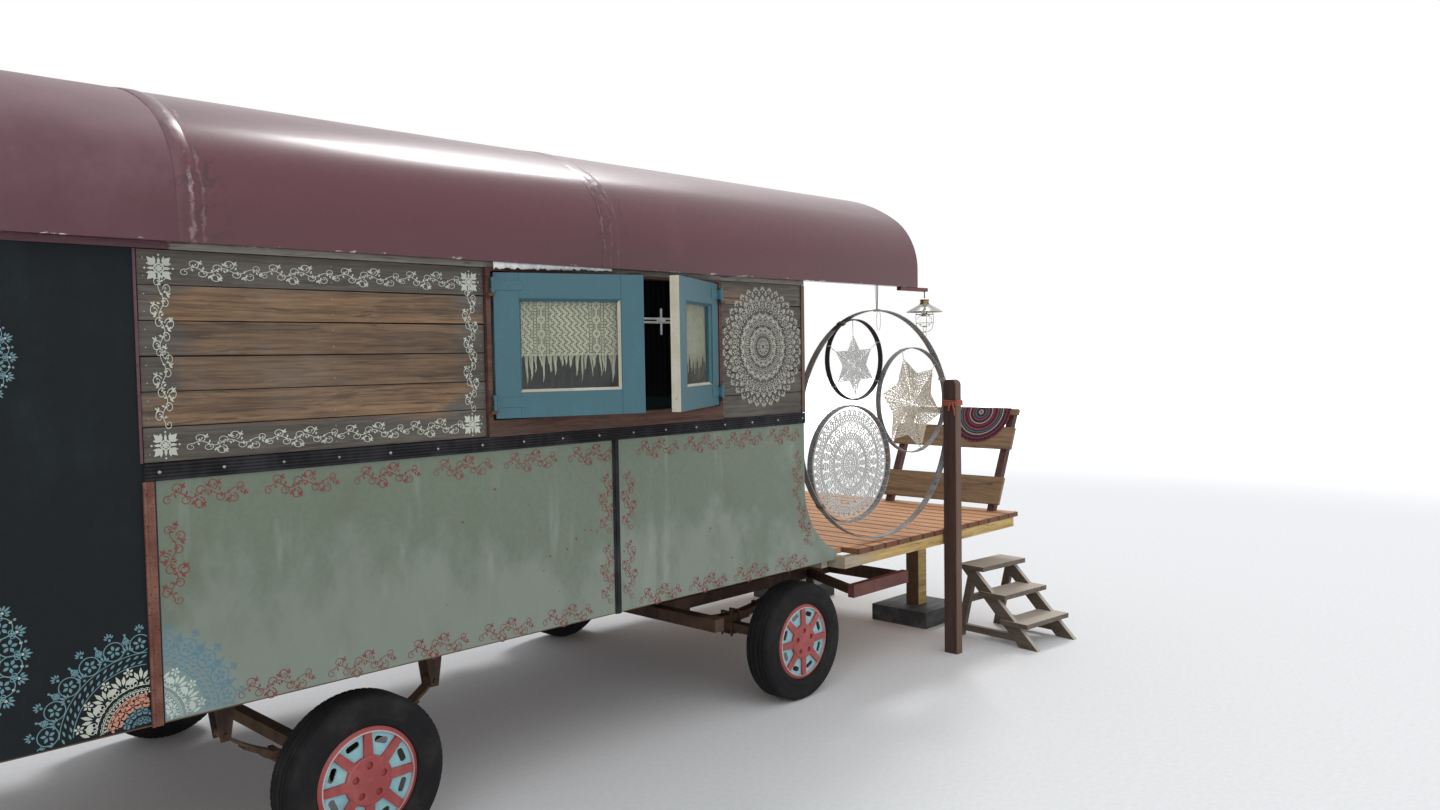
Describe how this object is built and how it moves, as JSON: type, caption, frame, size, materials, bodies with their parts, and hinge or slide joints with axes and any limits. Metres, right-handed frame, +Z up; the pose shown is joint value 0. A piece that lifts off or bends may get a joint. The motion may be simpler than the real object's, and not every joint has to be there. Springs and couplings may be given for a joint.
{
  "type": "vardo wagon",
  "caption": "Barrel-roofed living wagon with hinged side windows, a turning forecarriage, a front porch deck, steps and hanging crochet hoops.",
  "frame": {"origin": "middle of the whole wagon's footprint with its deck, steps and open windows, on the ground", "axes": "+X forward to the porch and the drawbar, +Y to the wagon's left side, +Z up"},
  "size_m": [6.4762, 2.936, 2.7513],
  "materials": {
    "floor_wood": "rough",
    "chassis_steel": "worn",
    "end_wall_paint": "painted",
    "black_rail": "satin",
    "eave_wood": "weathered",
    "roof_paint": "gloss",
    "window_wood": "oiled",
    "door_paint": "painted",
    "window_glass": "clear",
    "maroon_bar": "gloss",
    "axle_steel": "rusty",
    "deck_wood": "oiled",
    "joist_wood": "sawn",
    "pad_wood": "weathered",
    "post_wood": "painted",
    "step_wood": "weathered",
    "deck_rail_wood": "oiled",
    "crochet_yarn": "knotted",
    "hoop_wood": "painted",
    "shade_enamel": "gloss",
    "lamp_glass": "clear",
    "sage_sheet": "satin",
    "wall_planks": "weathered",
    "tail_panel": "satin",
    "sash_paint": "painted",
    "curtain_lace": "lace",
    "tyre": "matt",
    "wheel_paint": "satin"
  },
  "bodies": {
    "wagon": {"wagon_floor": "floor_wood", "chassis_frame": "chassis_steel", "front_wall": "end_wall_paint", "rear_wall": "end_wall_paint", "rub_rails": "black_rail", "eave_boards": "eave_wood", "roof_sheets": "roof_paint", "porch_bow": "roof_paint", "window_frames": "window_wood", "turntable_upper": "chassis_steel", "rear_axle": "axle_steel", "rear_springs": "axle_steel", "deck_boards": "deck_wood", "deck_frame": "joist_wood", "deck_pads": "pad_wood", "porch_post": "post_wood", "porch_steps": "step_wood", "deck_rail_uprights": "deck_rail_wood", "deck_rail_boards": "deck_rail_wood", "rail_cloth": "crochet_yarn", "large_hoop": "hoop_wood", "small_hoops": "hoop_wood", "crochet_panels": "crochet_yarn", "lamp_bracket": "maroon_bar", "lamp_shade": "shade_enamel", "lamp_globe": "lamp_glass", "right_lower_wall": "sage_sheet", "right_upper_wall": "wall_planks", "right_tail_wall": "tail_panel", "left_lower_wall": "sage_sheet", "left_upper_wall": "wall_planks", "left_tail_wall": "tail_panel"},
    "right_front_road_wheel": {"right_front_tyre": "tyre", "right_front_wheel": "wheel_paint"},
    "right_front_casement": {"right_front_sash": "sash_paint", "right_front_glass": "window_glass", "right_front_curtain": "curtain_lace"},
    "right_rear_road_wheel": {"right_rear_tyre": "tyre", "right_rear_wheel": "wheel_paint"},
    "right_rear_casement": {"right_rear_sash": "sash_paint", "right_rear_glass": "window_glass", "right_rear_curtain": "curtain_lace"},
    "left_front_road_wheel": {"left_front_tyre": "tyre", "left_front_wheel": "wheel_paint"},
    "left_front_casement": {"left_front_sash": "sash_paint", "left_front_glass": "window_glass"},
    "left_rear_road_wheel": {"left_rear_tyre": "tyre", "left_rear_wheel": "wheel_paint"},
    "left_rear_casement": {"left_rear_sash": "sash_paint", "left_rear_glass": "window_glass"},
    "forecarriage": {"forecarriage_frame": "chassis_steel", "step_bars": "maroon_bar", "front_axle": "axle_steel", "front_springs": "axle_steel"},
    "towing_bar": {"drawbar": "chassis_steel"},
    "door": {"front_door": "door_paint", "front_door_glass": "window_glass"}
  },
  "joints": [
    {"name": "steering", "type": "hinge", "parent": "wagon", "child": "forecarriage", "pos_m": [0.87189, 0.10082, 0.522], "axis": [0, 0, 1], "range_deg": [-35, 35]},
    {"name": "drawbar_lift", "type": "hinge", "parent": "forecarriage", "child": "towing_bar", "pos_m": [1.80989, 0.10082, 0.492], "axis": [0, -1, 0], "range_deg": [0, 33]},
    {"name": "door_swing", "type": "hinge", "parent": "wagon", "child": "door", "pos_m": [0.88689, 0.46082, 1.6], "axis": [0, 0, 1], "range_deg": [0, 105]},
    {"name": "right_front_wheel_spin", "type": "hinge", "parent": "forecarriage", "child": "right_front_road_wheel", "pos_m": [0.87189, -0.86418, 0.3], "axis": [0, 1, 0], "continuous": true},
    {"name": "right_front_casement_swing", "type": "hinge", "parent": "wagon", "child": "right_front_casement", "pos_m": [0.24389, -0.97918, 1.82], "axis": [0, 0, 1], "range_deg": [-29, 71]},
    {"name": "right_rear_wheel_spin", "type": "hinge", "parent": "wagon", "child": "right_rear_road_wheel", "pos_m": [-1.53811, -0.86418, 0.3], "axis": [0, 1, 0], "continuous": true},
    {"name": "right_rear_casement_swing", "type": "hinge", "parent": "wagon", "child": "right_rear_casement", "pos_m": [-1.00511, -0.97918, 1.82], "axis": [0, 0, -1], "range_deg": [-20, 80]},
    {"name": "left_front_wheel_spin", "type": "hinge", "parent": "forecarriage", "child": "left_front_road_wheel", "pos_m": [0.87189, 1.06582, 0.3], "axis": [0, 1, 0], "continuous": true},
    {"name": "left_front_casement_swing", "type": "hinge", "parent": "wagon", "child": "left_front_casement", "pos_m": [0.24389, 1.18082, 1.82], "axis": [0, 0, -1], "range_deg": [-29, 71]},
    {"name": "left_rear_wheel_spin", "type": "hinge", "parent": "wagon", "child": "left_rear_road_wheel", "pos_m": [-1.53811, 1.06582, 0.3], "axis": [0, 1, 0], "continuous": true},
    {"name": "left_rear_casement_swing", "type": "hinge", "parent": "wagon", "child": "left_rear_casement", "pos_m": [-1.00511, 1.18082, 1.82], "axis": [0, 0, 1], "range_deg": [-20, 80]}
  ]
}
